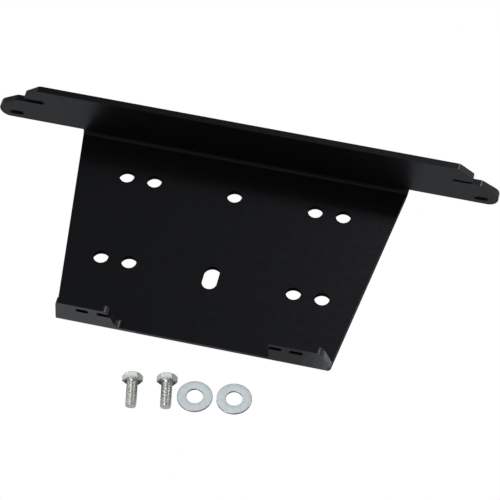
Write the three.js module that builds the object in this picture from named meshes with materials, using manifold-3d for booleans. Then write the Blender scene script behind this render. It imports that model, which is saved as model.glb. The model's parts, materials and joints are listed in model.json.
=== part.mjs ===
// Winch mounting plate kit for a utility quad: one bent steel plate, two hex bolts and two flat washers.
// Units are millimetres and +Z is up. The origin is the centre of the winch hole pattern, on the
// underside of the web. +X runs along the tall flange, and +Y points from the front edge to that flange.
import * as THREE from "three";
import { mergeVertices } from "three/addons/utils/BufferGeometryUtils.js";
import Module from "manifold-3d";

// ---- driving dimensions ------------------------------------------------------------------------------
const PLATE_THICKNESS = 5.5;

// Web: the flat trapezoid that the winch bolts to.
const WEB = { centreX: -0.3, frontY: -96.5, frontHalfWidth: 101.4, backHalfWidth: 126.7, cornerRadius: 5 };
const FRONT_EDGE_RADIUS = 4; // the rounded lower front edge of the web and its tabs

// Flange: the long upright wall at the back, with a wing at each end that overhangs the web.
const FLANGE = { centreX: 0.9, faceY: 72, topZ: 44.3, bendInnerRadius: 3 };
const WING_SLOT = { x: 179.6, z: 14.6, length: 11.2, height: 4.2 };

// Each wing ends in a finger with a notch above it; the notch in the left wing is the wider one.
const FINGER = { tipX: 192.8, undersideZ: 8.7, shoulderZ: 20.9, crownX: 178.9, topZ: 29.5 };
const NOTCH = { innerX: 157, leftTopZ: 33.4, rightTopZ: 31.6 };
const WING_SHOULDER = { outerX: 172.3, outerZ: 35.9, innerX: 161.2 };

// One wing's free end from bottom to top: distance from the flange's middle, height, corner radius.
function wingEnd(notchTopZ) {
  const notchRadius = 0.47 * (notchTopZ - FINGER.topZ); // a little under half, so its end is nearly round
  return [
    [FINGER.tipX, FINGER.undersideZ, 8],
    [FINGER.tipX, FINGER.shoulderZ, 7.5],
    [FINGER.crownX, FINGER.topZ, 4],
    [NOTCH.innerX, FINGER.topZ, notchRadius],
    [NOTCH.innerX, notchTopZ, notchRadius],
    [WING_SHOULDER.outerX, notchTopZ, 0.5],
    [WING_SHOULDER.outerX, WING_SHOULDER.outerZ, 1.5],
    [WING_SHOULDER.innerX, FLANGE.topZ, 4],
  ];
}

// Winch hole pattern: two rows, with a slot in the middle of the front row.
const ROW_Y = 38.1;
const COLUMNS_X = [62, 83.3];
const HOLE_DIAMETER = 10.9;
const CENTRE_SLOT_LENGTH = 20.4;
const HOLE_TAPER = 1; // punched holes widen by this much per side towards the underside
const PUNCH_PROUD = 0.1; // how far a hole's cutter stands proud of the web's top, so its taper stays true

// Front tabs: two short upright walls flush with the front edge.
const TAB_TOP_Z = 22.7;
const TAB_BEND_INNER_RADIUS = 2;
const LEFT_TAB = { topX: [-100.9, -62.4], footX: [-102, -57], topRadii: [2, 5.5], footRadius: 5 };
const RIGHT_TAB = { topX: [56.3, 95.2], footX: [56.3, 102.3], topRadii: [1, 5.5], footRadius: 1 };

// Tab slots as [left end, right end]; two of them break out through the end of their tab.
const TAB_SLOT_HEIGHT = 3.5;
const TAB_SLOT_Z = 18;
const TAB_SLOTS = [[-86.3, -76.4], [-70.8, -50], [45, 66.3], [70.8, 81.8]];

// Loose hardware: fully threaded hex bolts and flat washers.
const BOLT = {
  diameter: 7.94, length: 19.05, pitch: 1.411, threadDepth: 0.75, tipChamfer: 1,
  headFlats: 13, headHeight: 5.3, headChamfer: 1.4, washerFace: 0.4, faceInset: 0.3,
};
const WASHER = { outer: 25.4, inner: 12, thickness: 1.5, edge: 0.25 };

// The hardware lies in front of the plate, on the plane of its underside.
const BOLT_HEADING = THREE.MathUtils.degToRad(10.6); // from -Y towards +X
const BOLT_HEAD_PLACES = { hex_bolt_left: [-33, -139.5], hex_bolt_right: [-8.8, -134.7] };
const WASHER_PLACES = { flat_washer_left: [12.3, -137.9], flat_washer_right: [40, -133.5] };

const ARC_STEP = Math.PI / 30; // the angle that one straight piece of a rounded corner covers
const HOLE_SEGMENTS = 48;
const BOLT_SEGMENTS = 24;
const WASHER_SEGMENTS = 48;
const REACH = 400; // longer than the plate, for cutters that pass right through it
const CLEAR = 1; // how far a cutter stands proud of the faces it cuts
const FOOT_RUN = 10; // how far a tab's foot is drawn on beyond its end, along the web

// ---- materials ---------------------------------------------------------------------------------------
const powderCoat = new THREE.MeshStandardMaterial({ color: 0x1a1b1d, roughness: 0.45, metalness: 0 });
const zincBolt = new THREE.MeshStandardMaterial({ color: 0xc8cac2, roughness: 0.3, metalness: 1 });
const zincWasher = new THREE.MeshStandardMaterial({ color: 0xb9c2c8, roughness: 0.4, metalness: 1 });

// ---- solids and outlines -----------------------------------------------------------------------------
const wasm = await Module();
wasm.setup();

// A three.js geometry as a solid that can be joined and cut.
function solidOf(geometry) {
  geometry.deleteAttribute("normal");
  geometry.deleteAttribute("uv");
  const merged = mergeVertices(geometry, 1e-4);
  return new wasm.Manifold(new wasm.Mesh({
    numProp: 3,
    vertProperties: merged.attributes.position.array,
    triVerts: new Uint32Array(merged.index.array),
  }));
}

// A solid as a named three.js mesh.
function meshOf(name, solid, material) {
  const { vertProperties, triVerts } = solid.getMesh();
  const geometry = new THREE.BufferGeometry();
  geometry.setAttribute("position", new THREE.BufferAttribute(vertProperties, 3));
  geometry.setIndex(new THREE.BufferAttribute(triVerts, 1));
  geometry.computeVertexNormals();
  const mesh = new THREE.Mesh(geometry, material);
  mesh.name = name;
  return mesh;
}

// A closed outline through corners given as [across, up, radius]; a radius turns its corner into an arc.
function outline(corners) {
  const points = [];
  corners.forEach(([across, up, radius = 0], i) => {
    const corner = new THREE.Vector2(across, up);
    if (radius === 0) {
      points.push(corner);
      return;
    }
    const before = corners.at(i - 1);
    const after = corners[(i + 1) % corners.length];
    const back = new THREE.Vector2(before[0], before[1]).sub(corner).normalize();
    const ahead = new THREE.Vector2(after[0], after[1]).sub(corner).normalize();
    const halfOpening = Math.acos(back.dot(ahead)) / 2;
    const bisector = back.clone().add(ahead).normalize();
    const centre = corner.clone().addScaledVector(bisector, radius / Math.sin(halfOpening));
    const start = corner.clone().addScaledVector(back, radius / Math.tan(halfOpening));
    const sweep = (Math.PI - 2 * halfOpening) * Math.sign(ahead.cross(back));
    const steps = Math.ceil(Math.abs(sweep) / ARC_STEP);
    for (let k = 0; k <= steps; k += 1) {
      points.push(start.clone().rotateAround(centre, (sweep * k) / steps));
    }
  });
  return new THREE.Shape(points);
}

function rectangle(left, bottom, right, top) {
  return outline([[left, bottom], [right, bottom], [right, top], [left, top]]);
}

// An oblong with round ends that fills the box between two corners; a square box gives a circle.
function oblong(left, bottom, right, top) {
  const width = right - left;
  const height = top - bottom;
  const radius = Math.min(width, height) / 2;
  const points = [];
  for (let k = 0; k < HOLE_SEGMENTS; k += 1) {
    const angle = ((k + 0.5) * 2 * Math.PI) / HOLE_SEGMENTS;
    const across = Math.cos(angle);
    const up = Math.sin(angle);
    points.push(new THREE.Vector2(
      (left + right) / 2 + across * radius + Math.sign(across) * (width / 2 - radius),
      (bottom + top) / 2 + up * radius + Math.sign(up) * (height / 2 - radius),
    ));
  }
  return new THREE.Shape(points);
}

function extrude(shape, depth) {
  return new THREE.ExtrudeGeometry(shape, { depth, bevelEnabled: false });
}

// Prisms whose outline is drawn in plan (x, y), in front view (x, z) and in side view (y, z).
function planPrism(shape, fromZ, toZ) {
  return solidOf(extrude(shape, toZ - fromZ).translate(0, 0, fromZ));
}

function frontPrism(shape, fromY, toY) {
  const upright = new THREE.Matrix4().makeBasis(
    new THREE.Vector3(1, 0, 0), new THREE.Vector3(0, 0, 1), new THREE.Vector3(0, -1, 0));
  return solidOf(extrude(shape, toY - fromY).applyMatrix4(upright).translate(0, toY, 0));
}

function sidePrism(shape, fromX, toX) {
  const upright = new THREE.Matrix4().makeBasis(
    new THREE.Vector3(0, 1, 0), new THREE.Vector3(0, 0, 1), new THREE.Vector3(1, 0, 0));
  return solidOf(extrude(shape, toX - fromX).applyMatrix4(upright).translate(fromX, 0, 0));
}

// A cutter for a hole punched down through the web: true to the outline on top, wider underneath.
function punch(shape) {
  return solidOf(new THREE.ExtrudeGeometry(shape, {
    depth: CLEAR,
    bevelThickness: PLATE_THICKNESS + PUNCH_PROUD,
    bevelSize: HOLE_TAPER,
    bevelSegments: 1,
  }).translate(0, 0, -CLEAR));
}

// A solid of revolution about Z from points given as [radius, height], bottom to top.
function lathe(profile, segments) {
  const points = profile.map(([radius, height]) => new THREE.Vector2(radius, height));
  return solidOf(new THREE.LatheGeometry(points, segments).rotateX(Math.PI / 2));
}

// ---- plate -------------------------------------------------------------------------------------------
const FLANGE_BACK_Y = FLANGE.faceY + PLATE_THICKNESS;
const TAB_BACK_Y = WEB.frontY + PLATE_THICKNESS;

// The bent sheet seen from the side: tab, web and flange, as if each ran the full width.
function bentSheet() {
  const profile = outline([
    [WEB.frontY, 0, FRONT_EDGE_RADIUS],
    [FLANGE_BACK_Y, 0, FLANGE.bendInnerRadius + PLATE_THICKNESS],
    [FLANGE_BACK_Y, FLANGE.topZ],
    [FLANGE.faceY, FLANGE.topZ],
    [FLANGE.faceY, PLATE_THICKNESS, FLANGE.bendInnerRadius],
    [TAB_BACK_Y, PLATE_THICKNESS, TAB_BEND_INNER_RADIUS],
    [TAB_BACK_Y, TAB_TOP_Z],
    [WEB.frontY, TAB_TOP_Z],
  ]);
  return sidePrism(profile, -REACH / 2, REACH / 2);
}

// The trapezoid that the web fills in plan.
function webBlank() {
  const { centreX, frontY, frontHalfWidth, backHalfWidth, cornerRadius } = WEB;
  return planPrism(outline([
    [centreX - frontHalfWidth, frontY],
    [centreX + frontHalfWidth, frontY, cornerRadius],
    [centreX + backHalfWidth, FLANGE_BACK_Y],
    [centreX - backHalfWidth, FLANGE_BACK_Y],
  ]), 0, FLANGE.topZ + CLEAR);
}

// The flange's outline with both wings, above the level of the wings' underside.
function flangeBlank() {
  const right = wingEnd(NOTCH.rightTopZ).map(([across, up, r]) => [FLANGE.centreX + across, up, r]);
  const left = wingEnd(NOTCH.leftTopZ).map(([across, up, r]) => [FLANGE.centreX - across, up, r]);
  return frontPrism(outline([...right, ...left.reverse()]), FLANGE.faceY - CLEAR, FLANGE_BACK_Y + CLEAR);
}

// One tab's outline, with its foot spreading into the web.
function tabOutline({ topX, footX, topRadii, footRadius }) {
  return outline([
    [footX[0], 0],
    [footX[1] + FOOT_RUN, 0],
    [footX[1] + FOOT_RUN, PLATE_THICKNESS],
    [footX[1], PLATE_THICKNESS, footRadius],
    [topX[1], TAB_TOP_Z, topRadii[1]],
    [topX[0], TAB_TOP_Z, topRadii[0]],
  ]);
}

// Everything above the web along the front edge that is not a tab.
function frontOpening() {
  const inside = TAB_BACK_Y + 2 * TAB_BEND_INNER_RADIUS;
  const outside = WEB.frontY - CLEAR;
  const strip = frontPrism(rectangle(-REACH, PLATE_THICKNESS, REACH, REACH), outside, inside);
  const tabs = [LEFT_TAB, RIGHT_TAB].map((tab) => (
    frontPrism(tabOutline(tab), outside - CLEAR, inside + CLEAR)));
  return tabs.reduce((rest, tab) => rest.subtract(tab), strip);
}

function plateCutters() {
  const cutters = [frontOpening()];
  const throughWeb = (x, y, width, length) => {
    const shape = oblong(x - width / 2, y - length / 2, x + width / 2, y + length / 2);
    cutters.push(punch(shape));
  };
  for (const side of [-1, 1]) {
    for (const column of COLUMNS_X) {
      throughWeb(side * column, ROW_Y, HOLE_DIAMETER, HOLE_DIAMETER);
      throughWeb(side * column, -ROW_Y, HOLE_DIAMETER, HOLE_DIAMETER);
    }
    const { x, z, length, height } = WING_SLOT;
    const left = FLANGE.centreX + side * x - length / 2;
    const wingSlot = oblong(left, z - height / 2, left + length, z + height / 2);
    cutters.push(frontPrism(wingSlot, FLANGE.faceY - CLEAR, FLANGE_BACK_Y + CLEAR));
  }
  throughWeb(0, ROW_Y, HOLE_DIAMETER, HOLE_DIAMETER);
  throughWeb(0, -ROW_Y, HOLE_DIAMETER, CENTRE_SLOT_LENGTH);
  for (const [left, right] of TAB_SLOTS) {
    const shape = oblong(left, TAB_SLOT_Z - TAB_SLOT_HEIGHT / 2, right, TAB_SLOT_Z + TAB_SLOT_HEIGHT / 2);
    cutters.push(frontPrism(shape, WEB.frontY - CLEAR, TAB_BACK_Y + CLEAR));
  }
  return cutters;
}

function mountPlate() {
  const blank = bentSheet().intersect(webBlank().add(flangeBlank()));
  const plate = plateCutters().reduce((body, cutter) => body.subtract(cutter), blank);
  return meshOf("mount_plate", plate, powderCoat);
}

// ---- loose hardware ----------------------------------------------------------------------------------
// A bolt that hangs from z = 0, with its head above and its threads below.
function boltSolid() {
  const crest = BOLT.diameter / 2;
  const root = crest - BOLT.threadDepth;
  const shank = [[0, -BOLT.length], [root, -BOLT.length]];
  for (let z = BOLT.tipChamfer - BOLT.length; z < -BOLT.pitch; z += BOLT.pitch) {
    shank.push([crest, z]);
    shank.push([root, z + BOLT.pitch / 2]);
  }
  const washerFace = BOLT.headFlats / 2 - BOLT.faceInset;
  const insideHead = BOLT.washerFace * 2;
  shank.push([root, 0], [washerFace, 0], [washerFace, insideHead], [0, insideHead]);

  const hexRadius = BOLT.headFlats / Math.sqrt(3);
  const hexHeight = BOLT.headHeight - BOLT.washerFace;
  const hexagon = solidOf(
    new THREE.CylinderGeometry(hexRadius, hexRadius, hexHeight, 6, 1, false, Math.PI / 6)
    .rotateX(Math.PI / 2)
    .translate(0, 0, BOLT.washerFace + hexHeight / 2));
  const chamfered = lathe([
    [0, 0],
    [hexRadius + CLEAR, 0],
    [hexRadius + CLEAR, BOLT.headHeight - BOLT.headChamfer],
    [washerFace, BOLT.headHeight],
    [0, BOLT.headHeight],
  ], BOLT_SEGMENTS);
  return lathe(shank, BOLT_SEGMENTS).add(hexagon.intersect(chamfered));
}

// A bolt lying on one flat of its head and on its last thread, tip slightly down.
function layBolt(name, [x, y], solid) {
  const bolt = meshOf(name, solid, zincBolt);
  const rise = (BOLT.headFlats - BOLT.diameter) / 2;
  const droop = Math.atan2(rise, BOLT.length - BOLT.tipChamfer);
  bolt.position.set(x, y, (BOLT.headFlats / 2) * Math.cos(droop));
  bolt.rotation.set(droop - Math.PI / 2, 0, BOLT_HEADING, "ZYX");
  return bolt;
}

function washerSolid() {
  const { outer, inner, thickness, edge } = WASHER;
  return lathe([
    [inner / 2, edge],
    [inner / 2 + edge, 0],
    [outer / 2 - edge, 0],
    [outer / 2, edge],
    [outer / 2, thickness - edge],
    [outer / 2 - edge, thickness],
    [inner / 2 + edge, thickness],
    [inner / 2, thickness - edge],
    [inner / 2, edge],
  ], WASHER_SEGMENTS);
}

// ---- assembly ----------------------------------------------------------------------------------------
const kit = new THREE.Group();
kit.name = "winch_mount_plate_kit";
kit.add(mountPlate());

const bolts = new THREE.Group();
bolts.name = "bolts";
for (const [name, place] of Object.entries(BOLT_HEAD_PLACES)) {
  bolts.add(layBolt(name, place, boltSolid()));
}
kit.add(bolts);

const washers = new THREE.Group();
washers.name = "washers";
for (const [name, [x, y]] of Object.entries(WASHER_PLACES)) {
  const washer = meshOf(name, washerSolid(), zincWasher);
  washer.position.set(x, y, 0);
  washers.add(washer);
}
kit.add(washers);

export default kit;
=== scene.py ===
"""Studio scene of a winch mounting plate kit: a powder-coated bent plate, two zinc bolts, two washers."""
import json
import math

import bmesh
import bpy
from mathutils import Matrix, Vector


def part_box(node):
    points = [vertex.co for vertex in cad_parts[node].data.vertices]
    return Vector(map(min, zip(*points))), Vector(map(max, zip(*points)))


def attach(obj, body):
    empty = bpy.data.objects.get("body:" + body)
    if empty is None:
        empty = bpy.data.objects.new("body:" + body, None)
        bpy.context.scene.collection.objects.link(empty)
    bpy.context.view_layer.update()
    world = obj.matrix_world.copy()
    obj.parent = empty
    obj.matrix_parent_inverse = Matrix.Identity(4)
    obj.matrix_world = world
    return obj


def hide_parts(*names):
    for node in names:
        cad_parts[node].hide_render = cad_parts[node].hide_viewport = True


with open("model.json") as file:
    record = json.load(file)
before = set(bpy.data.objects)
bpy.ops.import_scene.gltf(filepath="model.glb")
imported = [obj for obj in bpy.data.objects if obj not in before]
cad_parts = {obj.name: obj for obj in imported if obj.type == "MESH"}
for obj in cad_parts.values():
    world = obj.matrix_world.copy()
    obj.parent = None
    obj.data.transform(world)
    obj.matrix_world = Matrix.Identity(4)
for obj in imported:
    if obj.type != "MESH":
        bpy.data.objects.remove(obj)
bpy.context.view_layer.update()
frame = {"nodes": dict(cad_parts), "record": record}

MM = 0.001

# ---- shapes, in millimetres ---------------------------------------------------------------------------
PLATE_EDGE_ROUNDING = 0.7

SHANK_RADIUS = 3.97
SHANK_LENGTH = 19.05
THREAD_PITCH = 1.411
THREAD_DEPTH = 0.75
# How deep each row of one turn lies, as a share of the depth: flat crest, flank, flat root, flank.
THREAD_PROFILE = (0.0, 0.0, 0.35, 0.75, 1.0, 1.0, 0.65, 0.25)
THREAD_RUNOUT = 1.2  # the thread fades out over this length below the head
TIP_CHAMFER = 0.5
LAST_THREAD = 1.0  # how far from the tip the thread touches the plane that the bolt lies on

HEAD_FLATS = 13.0
HEAD_HEIGHT = 5.3
HEAD_CORNER_SHARPNESS = 200  # the higher, the less the hexagon's corners are rounded
WASHER_FACE_HEIGHT = 0.4
WASHER_FACE_RADIUS = HEAD_FLATS / 2 - 0.35
WASHER_FACE_EDGE = 0.1
# Rings that round the hexagon's lower edge: how far each is drawn in, and how high it lies.
HEAD_LOWER_EDGE = ((0.22, 0.0), (0.06, 0.07), (0.0, 0.25))
# Rings that round its upper edge: how far each is drawn in, the inset that sets its slope, and its drop.
HEAD_UPPER_EDGE = ((0.0, 0.0, 0.22), (0.07, 0.0, 0.05), (0.25, 0.25, 0.0))
CROWN_RADIUS = HEAD_FLATS / 2 - 0.25
CROWN_EDGE = 0.35
CROWN_DROP = 0.02
CROWN_SLOPE = math.tan(math.radians(30))
BOLT_HEADING = math.radians(10.6)
BOLT_STEPS = 96

WASHER_HOLE = 12.0
# Edge roundings, the punched top ones being the rounder.
WASHER_RIM_TOP = 0.45
WASHER_RIM_BOTTOM = 0.22
WASHER_HOLE_TOP = 0.35
WASHER_HOLE_BOTTOM = 0.2
WASHER_STEPS = 128
WASHER_EDGE_STEPS = 4

WELD_DISTANCE = 0.002
SMALLEST_EDGE = 0.001

# ---- camera: its aim and its distance from there are in metres, its lens and sensor in millimetres -----
CAMERA_AIM = Vector((0.02149, -0.00335, 0.0))
CAMERA_DISTANCE = 1.8922
CAMERA_AZIMUTH = math.radians(12.64)
CAMERA_ELEVATION = math.radians(54.32)
CAMERA_ROLL = math.radians(0.47)
CAMERA_LENS = 183.8
CAMERA_SENSOR = 36.0
CAMERA_CLIP = (0.1, 50)

FLOOR_GLOW = 0.46
LEFT_CARD_GLOW = 0.75
# Where each card in front of the right tab starts, in millimetres, and its glow: brighter to the right.
RIGHT_CARDS = ((40, 0.38), (80, 0.48), (88, 0.66), (96, 0.95))
UNDER_PLATE_GLOW = 0.02
NEAR_BOLT_GLOW = 0.50
# Painted shade: the dark patches right under the bolts and washers, which the camera doesn't see, stand in
# for their shadows on the floor.
BOLT_PAINTED_SHADE_GLOW = 0.06
WASHER_PAINTED_SHADE_GLOW = 0.05
GLOW_TINT = (0.95, 0.98, 1.05)

# Heights of the floor and of the sheets laid on it, in millimetres.
FLOOR_LEVEL = -0.6
CARD_LEVEL = -0.5
WEB_SHADE_LEVEL = -0.4
FLANGE_SHADE_LEVEL = -0.35
PATCH_LEVEL = -0.3
PATCH_LIFT = 0.12
SHEET_STEP = 0.02

# Outlines, in millimetres. The cards stop just in front of the web, and the right ones run back beside it.
FLOOR_REACH = 6000
CARD_GAP = 1
LEFT_CARD = {"left": -190, "right": -42, "front": -260}
RIGHT_CARD = {"right": 320, "front": -300, "back": -20, "web_front": 104, "web_back": 115}
SHADE_MARGIN = 2.0
WEB_HALF_WIDTHS = (101, 127)  # in front and behind
FLANGE_SHADE_DEPTH = 9
FLANGE_SHADE_INSET = 4
NEAR_BOLT_MARGIN = 12
UNDER_BOLT_MARGIN = -1
UNDER_WASHER_MARGIN = 2.5

# ---- lights: name, place and size in metres, power in watts, colour ------------------------------------
STUDIO_DARK = (0.066, 0.069, 0.075)
PLATE_LIGHTS = (
    ("plate_overhead", (0.1, -0.2, 2.0), 1.0, 0.7, (0.90, 0.95, 1.0)),
    ("plate_back", (-0.23, 0.94, 1.46), 0.8, 0.105, (0.82, 0.90, 1.0)),
    ("plate_glint", (0.56, 0.85, 1.09), 0.3, 4.4, (0.92, 0.93, 1.0)),
    ("plate_right", (1.6, 0.9, 0.55), 0.8, 2.2, (1.0, 1.0, 1.0)),
    ("plate_left", (-1.8, -0.3, 0.8), 2.5, 14.0, (1.0, 1.0, 1.0)),
)
PLATE_AIM = (0.0, 0.0, 0.0)
ZINC_LIGHTS = (
    ("zinc_top", (-0.13, 0.24, 0.84), 0.70, 1.7, (1.0, 1.0, 0.99)),
    ("zinc_left", (-0.82, 0.18, 0.26), 0.50, 3.0, (0.95, 0.97, 1.0)),
    ("zinc_front", (-0.42, -0.92, 0.98), 0.60, 8.6, (0.97, 1.0, 1.0)),
    ("zinc_right", (0.66, 0.16, 0.54), 0.30, 1.8, (1.0, 1.0, 0.98)),
)
ZINC_AIM = (0.0, -0.138, 0.0)

BOLT_NODES = ("hex_bolt_left", "hex_bolt_right")
WASHER_NODES = ("flat_washer_left", "flat_washer_right")


# ---- materials ----------------------------------------------------------------------------------------
class Nodes:
    """A material's node tree with short calls to add and link nodes."""

    def __init__(self, name):
        self.material = bpy.data.materials.new(name)
        self.material.use_nodes = True
        self.tree = self.material.node_tree
        self.shader = self.tree.nodes["Principled BSDF"]
        self.place = self.add("ShaderNodeTexCoord").outputs["Object"]

    def add(self, kind, **inputs):
        node = self.tree.nodes.new(kind)
        for key, value in inputs.items():
            self.set(node.inputs[key], value)
        return node

    def set(self, socket, value):
        if isinstance(value, bpy.types.NodeSocket):
            self.tree.links.new(value, socket)
        else:
            socket.default_value = value

    def noise(self, size, detail=2.0):
        """Noise whose blobs are about `size` millimetres across."""
        node = self.add("ShaderNodeTexNoise", Vector=self.place, Scale=1 / (size * MM), Detail=detail)
        return node.outputs["Fac"]

    def remap(self, value, low, high):
        """Stretches the noise's usual span, 0.3 to 0.7, to `low` to `high`."""
        node = self.add("ShaderNodeMapRange", Value=value)
        node.inputs["From Min"].default_value = 0.3
        node.inputs["From Max"].default_value = 0.7
        node.inputs["To Min"].default_value = low
        node.inputs["To Max"].default_value = high
        return node.outputs["Result"]

    def mix(self, factor, first, second):
        node = self.add("ShaderNodeMix")
        node.data_type = "RGBA"
        self.set(node.inputs[0], factor)
        node.inputs[6].default_value = (*first, 1)
        node.inputs[7].default_value = (*second, 1)
        return node.outputs[2]

    def bump(self, height, distance, normal=None):
        """A bump whose full height is `distance` millimetres."""
        node = self.add("ShaderNodeBump", Height=height, Strength=1.0, Distance=distance * MM)
        if normal is not None:
            self.set(node.inputs["Normal"], normal)
        return node.outputs["Normal"]


def powder_coat():
    """Satin black powder coat: orange peel about 1.3 mm across, with a finer grain on top."""
    n = Nodes("powder_coat")
    peel = n.bump(n.noise(size=1.3, detail=1.0), distance=0.005)
    grain = n.bump(n.noise(size=0.35, detail=2.0), distance=0.0012, normal=peel)
    tone = n.mix(n.noise(size=9.0), (0.0058, 0.0060, 0.0064), (0.0078, 0.0080, 0.0084))
    sheen = n.remap(n.noise(size=5.0, detail=3.0), low=0.31, high=0.37)
    n.set(n.shader.inputs["Base Color"], tone)
    n.set(n.shader.inputs["Roughness"], sheen)
    n.set(n.shader.inputs["Normal"], grain)
    n.shader.inputs["IOR"].default_value = 1.5
    return n.material


def zinc(name, dull, bright, roughness, metallic):
    """Zinc plating: soft blotches of tone, and fine pits."""
    n = Nodes(name)
    tone = n.mix(n.noise(size=2.2, detail=4.0), dull, bright)
    sheen = n.remap(n.noise(size=1.1, detail=3.0), low=roughness - 0.06, high=roughness + 0.08)
    pits = n.bump(n.noise(size=0.5, detail=3.0), distance=0.0012)
    n.set(n.shader.inputs["Base Color"], tone)
    n.set(n.shader.inputs["Roughness"], sheen)
    n.set(n.shader.inputs["Normal"], pits)
    n.shader.inputs["Metallic"].default_value = metallic
    return n.material


# ---- mesh helpers -------------------------------------------------------------------------------------
def add_rings(points, faces, rings, closed_loop=False):
    """Skins faces over rings of equal length and adds them to the lists."""
    first = len(points)
    count = len(rings[0])
    for ring in rings:
        points.extend(ring)
    for r in range(len(rings) if closed_loop else len(rings) - 1):
        low = first + r * count
        high = first + (r + 1) % len(rings) * count
        for k in range(count):
            after = (k + 1) % count
            faces.append((low + k, low + after, high + after, high + k))


def make_object(name, points, faces, place, sharp_angle):
    """A smooth-shaded object from points in millimetres; points that coincide are welded."""
    mesh = bpy.data.meshes.new(name)
    mesh.from_pydata([place @ (Vector(point) * MM) for point in points], [], faces)
    welded = bmesh.new()
    welded.from_mesh(mesh)
    bmesh.ops.remove_doubles(welded, verts=welded.verts, dist=WELD_DISTANCE * MM)
    bmesh.ops.dissolve_degenerate(welded, edges=welded.edges, dist=SMALLEST_EDGE * MM)
    bmesh.ops.recalc_face_normals(welded, faces=welded.faces)
    welded.to_mesh(mesh)
    welded.free()
    mesh.polygons.foreach_set("use_smooth", [True] * len(mesh.polygons))
    mesh.set_sharp_from_angle(angle=sharp_angle)
    obj = bpy.data.objects.new(name, mesh)
    bpy.context.scene.collection.objects.link(obj)
    return obj


def dress(obj, node, material):
    """Gives a rebuilt piece its body and its material, and hides the CAD node that it stands for."""
    obj.data.materials.append(material)
    body = next(name for name, nodes in frame["record"]["behaviour"]["bodies"].items() if node in nodes)
    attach(obj, body)
    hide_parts(node)


# ---- bolts --------------------------------------------------------------------------------------------
def hex_radius(angle):
    """Distance from the axis to the head's side, with slightly rounded corners; flats face +Y and -Y."""
    total = 0.0
    for k in range(6):
        total += max(0.0, math.cos(angle - math.radians(30 + 60 * k))) ** HEAD_CORNER_SHARPNESS
    return HEAD_FLATS / 2 / total ** (1 / HEAD_CORNER_SHARPNESS)


def on_circle(radius, step, z):
    angle = math.tau * step / BOLT_STEPS
    return (radius * math.cos(angle), radius * math.sin(angle), z)


def add_thread(points, faces):
    """Winds rows of points round the shank along a true helix, from the tip to the head."""
    turn = len(THREAD_PROFILE)
    rise = THREAD_PITCH / turn
    rows = math.ceil(SHANK_LENGTH / rise) + turn
    first = len(points)
    for row in range(rows + 1):
        for step in range(BOLT_STEPS):
            z = -SHANK_LENGTH + (row - turn + turn * step / BOLT_STEPS) * rise
            z = min(0.0, max(-SHANK_LENGTH, z))
            runout = min(1.0, -z / THREAD_RUNOUT)
            groove = THREAD_DEPTH * THREAD_PROFILE[row % turn] * runout
            chamfer = max(0.0, TIP_CHAMFER - (z + SHANK_LENGTH))
            points.append(on_circle(SHANK_RADIUS - max(groove, chamfer), step, z))
    for row in range(rows):
        for step in range(BOLT_STEPS):
            after = (step + 1) % BOLT_STEPS
            climb = turn if after == 0 else 0
            if row + 1 + climb > rows:
                continue
            low = first + row * BOLT_STEPS
            high = low + BOLT_STEPS
            lift = climb * BOLT_STEPS
            faces.append((low + step, low + lift + after, high + lift + after, high + step))


def bolt_mesh(name, place):
    """A bolt that hangs from z = 0 before it is placed: thread, flat tip, washer face and hexagon head."""
    points, faces = [], []
    add_thread(points, faces)

    def ring(radius, z):
        """A ring whose radius and height may follow the angle."""
        made = []
        for step in range(BOLT_STEPS):
            angle = math.tau * step / BOLT_STEPS
            made.append(on_circle(radius(angle), step, z(angle)))
        return made

    def level(value):
        return lambda angle: value

    def hexagon(inset):
        return lambda angle: hex_radius(angle) - inset

    def shoulder(inset, drop):
        """Height of the crown's chamfer over the hexagon drawn in by `inset`."""
        def height(angle):
            past_crown = max(0.0, hex_radius(angle) - inset - CROWN_RADIUS)
            return HEAD_HEIGHT - drop - CROWN_SLOPE * past_crown
        return height

    add_rings(points, faces, [
        ring(level(0.0), level(-SHANK_LENGTH)),
        ring(level(SHANK_RADIUS - TIP_CHAMFER), level(-SHANK_LENGTH)),
    ])
    add_rings(points, faces, [
        ring(level(SHANK_RADIUS), level(0.0)),
        ring(level(WASHER_FACE_RADIUS - WASHER_FACE_EDGE), level(0.0)),
        ring(level(WASHER_FACE_RADIUS), level(WASHER_FACE_EDGE)),
        ring(level(WASHER_FACE_RADIUS), level(WASHER_FACE_HEIGHT)),
        *(ring(hexagon(inset), level(WASHER_FACE_HEIGHT + rise)) for inset, rise in HEAD_LOWER_EDGE),
        *(ring(hexagon(inset), shoulder(slope, drop)) for inset, slope, drop in HEAD_UPPER_EDGE),
        ring(level(CROWN_RADIUS), level(HEAD_HEIGHT - CROWN_DROP)),
        ring(level(CROWN_RADIUS - CROWN_EDGE), level(HEAD_HEIGHT)),
        ring(level(0.0), level(HEAD_HEIGHT)),
    ])
    return make_object(name, points, faces, place, sharp_angle=math.radians(50))


# ---- washers ------------------------------------------------------------------------------------------
def washer_rings(outer, inner, thickness):
    """Rings around a washer's section, with rounded edges."""
    # Each corner: radius, height, rounding, 1 on the rim or -1 in the hole, and the angle it starts at.
    corners = [
        (outer / 2, 0.0, WASHER_RIM_BOTTOM, 1, -90),
        (outer / 2, thickness, WASHER_RIM_TOP, 1, 0),
        (inner / 2, thickness, WASHER_HOLE_TOP, -1, 90),
        (inner / 2, 0.0, WASHER_HOLE_BOTTOM, -1, 180),
    ]
    section = []
    for radius, height, rounding, side, start in corners:
        centre_r = radius - side * rounding
        centre_z = height + (rounding if height == 0 else -rounding)
        for k in range(WASHER_EDGE_STEPS + 1):
            angle = math.radians(start + 90 * k / WASHER_EDGE_STEPS)
            section.append((centre_r + rounding * math.cos(angle), centre_z + rounding * math.sin(angle)))
    rings = []
    for r, z in section:
        angles = [math.tau * k / WASHER_STEPS for k in range(WASHER_STEPS)]
        rings.append([(r * math.cos(angle), r * math.sin(angle), z) for angle in angles])
    return rings


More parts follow.
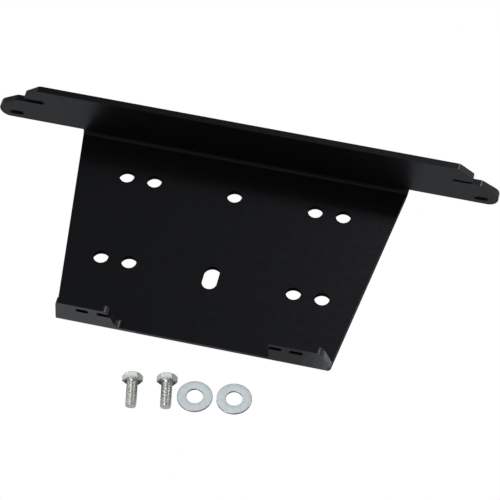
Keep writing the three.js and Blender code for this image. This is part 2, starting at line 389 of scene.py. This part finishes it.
# ---- build --------------------------------------------------------------------------------------------
def build_plate():
    """Rounds the edges of the CAD plate and powder-coats it."""
    plate = frame["nodes"]["mount_plate"]
    weld = plate.modifiers.new("weld", "WELD")
    weld.merge_threshold = WELD_DISTANCE * MM
    flatten = plate.modifiers.new("flatten", "DECIMATE")
    flatten.decimate_type = "DISSOLVE"
    flatten.angle_limit = math.radians(0.5)
    bevel = plate.modifiers.new("rounded_edges", "BEVEL")
    bevel.width = PLATE_EDGE_ROUNDING * MM
    bevel.segments = 4
    bevel.limit_method = "ANGLE"
    bevel.angle_limit = math.radians(40)
    even = plate.modifiers.new("flat_faces_stay_flat", "WEIGHTED_NORMAL")
    even.keep_sharp = True
    material = powder_coat()
    for index in range(len(plate.material_slots)):
        plate.material_slots[index].material = material
    return plate


def build_bolts():
    """Each bolt lies on a flat of its head and on its last thread, centred in its CAD node's box."""
    material = zinc("zinc_bolt", dull=(0.68, 0.70, 0.66), bright=(0.76, 0.77, 0.73),
                    roughness=0.36, metallic=1.0)
    droop = math.atan2(HEAD_FLATS / 2 - SHANK_RADIUS, SHANK_LENGTH - LAST_THREAD)
    turn = Matrix.Rotation(BOLT_HEADING, 4, "Z") @ Matrix.Rotation(droop - math.pi / 2, 4, "X")
    bolts = []
    for node in BOLT_NODES:
        bolt = bolt_mesh(node.removeprefix("hex_"), turn)
        corners = [[vertex.co[axis] for vertex in bolt.data.vertices] for axis in range(3)]
        middle = Vector([(min(values) + max(values)) / 2 for values in corners])
        low, high = (Vector(corner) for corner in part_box(node))
        bolt.data.transform(Matrix.Translation((low + high) / 2 - middle))
        dress(bolt, node, material)
        bolts.append(bolt)
    return bolts


def build_washers():
    """Each washer lies flat in its CAD node's box."""
    material = zinc("zinc_washer", dull=(0.56, 0.62, 0.65), bright=(0.68, 0.73, 0.76),
                    roughness=0.36, metallic=0.75)
    washers = []
    for node in WASHER_NODES:
        low, high = (Vector(corner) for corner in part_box(node))
        outer = (high.x - low.x) / MM
        thickness = (high.z - low.z) / MM
        place = Matrix.Translation(((low.x + high.x) / 2, (low.y + high.y) / 2, low.z))
        points, faces = [], []
        add_rings(points, faces, washer_rings(outer, WASHER_HOLE, thickness), closed_loop=True)
        washer = make_object(node.removeprefix("flat_"), points, faces, place, sharp_angle=math.radians(35))
        dress(washer, node, material)
        washers.append(washer)
    return washers


# ---- studio -------------------------------------------------------------------------------------------
def flat_sheet(name, outline, level, material):
    """A flat stage sheet through points (x, y) in millimetres."""
    mesh = bpy.data.meshes.new(name)
    mesh.from_pydata([(x * MM, y * MM, level * MM) for x, y in outline], [], [tuple(range(len(outline)))])
    mesh.materials.append(material)
    sheet = bpy.data.objects.new(name, mesh)
    bpy.context.scene.collection.objects.link(sheet)


def glow_material(name, unseen):
    """White to the camera; to everything else it glows with the strength `unseen`."""
    material = bpy.data.materials.new(name)
    material.use_nodes = True
    tree = material.node_tree
    tree.nodes.clear()
    path = tree.nodes.new("ShaderNodeLightPath")
    shade = tree.nodes.new("ShaderNodeMix")
    shade.data_type = "RGBA"
    shade.inputs[6].default_value = (*(unseen * channel for channel in GLOW_TINT), 1)
    shade.inputs[7].default_value = (1, 1, 1, 1)
    tree.links.new(path.outputs["Is Camera Ray"], shade.inputs[0])
    glow = tree.nodes.new("ShaderNodeEmission")
    tree.links.new(shade.outputs[2], glow.inputs["Color"])
    out = tree.nodes.new("ShaderNodeOutputMaterial")
    tree.links.new(glow.outputs[0], out.inputs["Surface"])
    return material


def circle(x, y, radius, steps=32):
    return [(x + radius * math.cos(math.tau * k / steps), y + radius * math.sin(math.tau * k / steps))
            for k in range(steps)]


def lay_patch(name, node, margin, level, material):
    """A round patch under a loose piece, wider than the piece by `margin` millimetres all round."""
    low, high = (Vector(corner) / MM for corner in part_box(node))
    middle = (low + high) / 2
    radius = max(high.x - low.x, high.y - low.y) / 2 + margin
    flat_sheet(name, circle(middle.x, middle.y, radius), level, material)


def build_floor():
    reach = FLOOR_REACH
    flat_sheet("floor", [(-reach, -reach), (reach, -reach), (reach, reach), (-reach, reach)],
               FLOOR_LEVEL, glow_material("floor_glow", FLOOR_GLOW))

    low, high = (Vector(corner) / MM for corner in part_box("mount_plate"))
    front = low.y - CARD_GAP
    edge = LEFT_CARD
    outline = [(edge["left"], edge["front"]), (edge["right"], edge["front"]),
               (edge["right"], front), (edge["left"], front)]
    flat_sheet("left_card", outline, CARD_LEVEL, glow_material("left_card_glow", LEFT_CARD_GLOW))
    edge = RIGHT_CARD
    for index, (start, glow) in enumerate(RIGHT_CARDS):
        outline = [(start, edge["front"]), (edge["right"], edge["front"]), (edge["right"], edge["back"]),
                   (edge["web_back"], edge["back"]), (edge["web_front"], front), (start, front)]
        level = CARD_LEVEL + SHEET_STEP * index
        flat_sheet(f"right_card_{index}", outline, level, glow_material(f"right_card_glow_{index}", glow))

    back = high.y + SHADE_MARGIN
    shade = glow_material("plate_shade", UNDER_PLATE_GLOW)
    half_front, half_back = (half + SHADE_MARGIN for half in WEB_HALF_WIDTHS)
    flat_sheet("web_shade", [(-half_front, low.y + SHADE_MARGIN), (half_front, low.y + SHADE_MARGIN),
                             (half_back, back), (-half_back, back)], WEB_SHADE_LEVEL, shade)
    left, right = low.x + FLANGE_SHADE_INSET, high.x - FLANGE_SHADE_INSET
    flat_sheet("flange_shade", [(left, back - FLANGE_SHADE_DEPTH), (right, back - FLANGE_SHADE_DEPTH),
                                (right, back), (left, back)], FLANGE_SHADE_LEVEL, shade)

    near_bolt = glow_material("near_bolt", NEAR_BOLT_GLOW)
    under_bolt = glow_material("under_bolt", BOLT_PAINTED_SHADE_GLOW)
    under_washer = glow_material("under_washer", WASHER_PAINTED_SHADE_GLOW)
    for index, node in enumerate(BOLT_NODES):
        level = PATCH_LEVEL + SHEET_STEP * index
        lay_patch("near_" + node, node, NEAR_BOLT_MARGIN, level, near_bolt)
        # Painted shade under the bolt.
        lay_patch("under_" + node, node, UNDER_BOLT_MARGIN, level + PATCH_LIFT, under_bolt)
    for index, node in enumerate(WASHER_NODES, len(BOLT_NODES)):
        level = PATCH_LEVEL + SHEET_STEP * index
        # Painted shade under the washer.
        lay_patch("under_" + node, node, UNDER_WASHER_MARGIN, level, under_washer)


def build_world():
    """White where the camera sees past the floor, and a dark studio for everything else."""
    world = bpy.data.worlds.new("studio")
    bpy.context.scene.world = world
    world.use_nodes = True
    tree = world.node_tree
    tree.nodes.clear()
    path = tree.nodes.new("ShaderNodeLightPath")
    seen = tree.nodes.new("ShaderNodeBackground")
    seen.inputs["Color"].default_value = (1, 1, 1, 1)
    dark = tree.nodes.new("ShaderNodeBackground")
    dark.inputs["Color"].default_value = (*STUDIO_DARK, 1)
    mix = tree.nodes.new("ShaderNodeMixShader")
    out = tree.nodes.new("ShaderNodeOutputWorld")
    tree.links.new(path.outputs["Is Camera Ray"], mix.inputs[0])
    tree.links.new(dark.outputs[0], mix.inputs[1])
    tree.links.new(seen.outputs[0], mix.inputs[2])
    tree.links.new(mix.outputs[0], out.inputs["Surface"])


def add_light(name, place, size, power, colour, aim, lit):
    """A square soft light at `place` that faces `aim` and falls on the collection `lit` alone."""
    data = bpy.data.lights.new(name, "AREA")
    data.size = size
    data.energy = power
    data.color = colour
    light = bpy.data.objects.new(name, data)
    light.location = place
    light.rotation_euler = (Vector(place) - Vector(aim)).to_track_quat("Z", "Y").to_euler()
    bpy.context.scene.collection.objects.link(light)
    light.light_linking.receiver_collection = lit


def collect(name, objects):
    collection = bpy.data.collections.new(name)
    for obj in objects:
        collection.objects.link(obj)
    return collection


def build_lights(plate, hardware):
    """Soft lights for the plate, and a second set that makes the small zinc pieces shine."""
    plate_alone = collect("lit_plate", [plate])
    for light in PLATE_LIGHTS:
        add_light(*light, PLATE_AIM, plate_alone)
    zinc_alone = collect("lit_hardware", hardware)
    for light in ZINC_LIGHTS:
        add_light(*light, ZINC_AIM, zinc_alone)


def build_camera():
    back = Vector((math.sin(CAMERA_AZIMUTH) * math.cos(CAMERA_ELEVATION),
                   -math.cos(CAMERA_AZIMUTH) * math.cos(CAMERA_ELEVATION),
                   math.sin(CAMERA_ELEVATION)))
    right = Vector((math.cos(CAMERA_AZIMUTH), math.sin(CAMERA_AZIMUTH), 0))
    level = Matrix((right, back.cross(right), back)).transposed().to_4x4()
    data = bpy.data.cameras.new("camera")
    data.sensor_width = CAMERA_SENSOR
    data.lens = CAMERA_LENS
    data.clip_start, data.clip_end = CAMERA_CLIP
    camera = bpy.data.objects.new("camera", data)
    place = CAMERA_AIM + CAMERA_DISTANCE * back
    camera.matrix_world = Matrix.Translation(place) @ level @ Matrix.Rotation(CAMERA_ROLL, 4, "Z")
    bpy.context.scene.collection.objects.link(camera)
    bpy.context.scene.camera = camera


plate = build_plate()
hardware = build_bolts() + build_washers()
build_floor()
build_world()
build_lights(plate, hardware)
build_camera()
bpy.context.scene.view_settings.view_transform = "Standard"
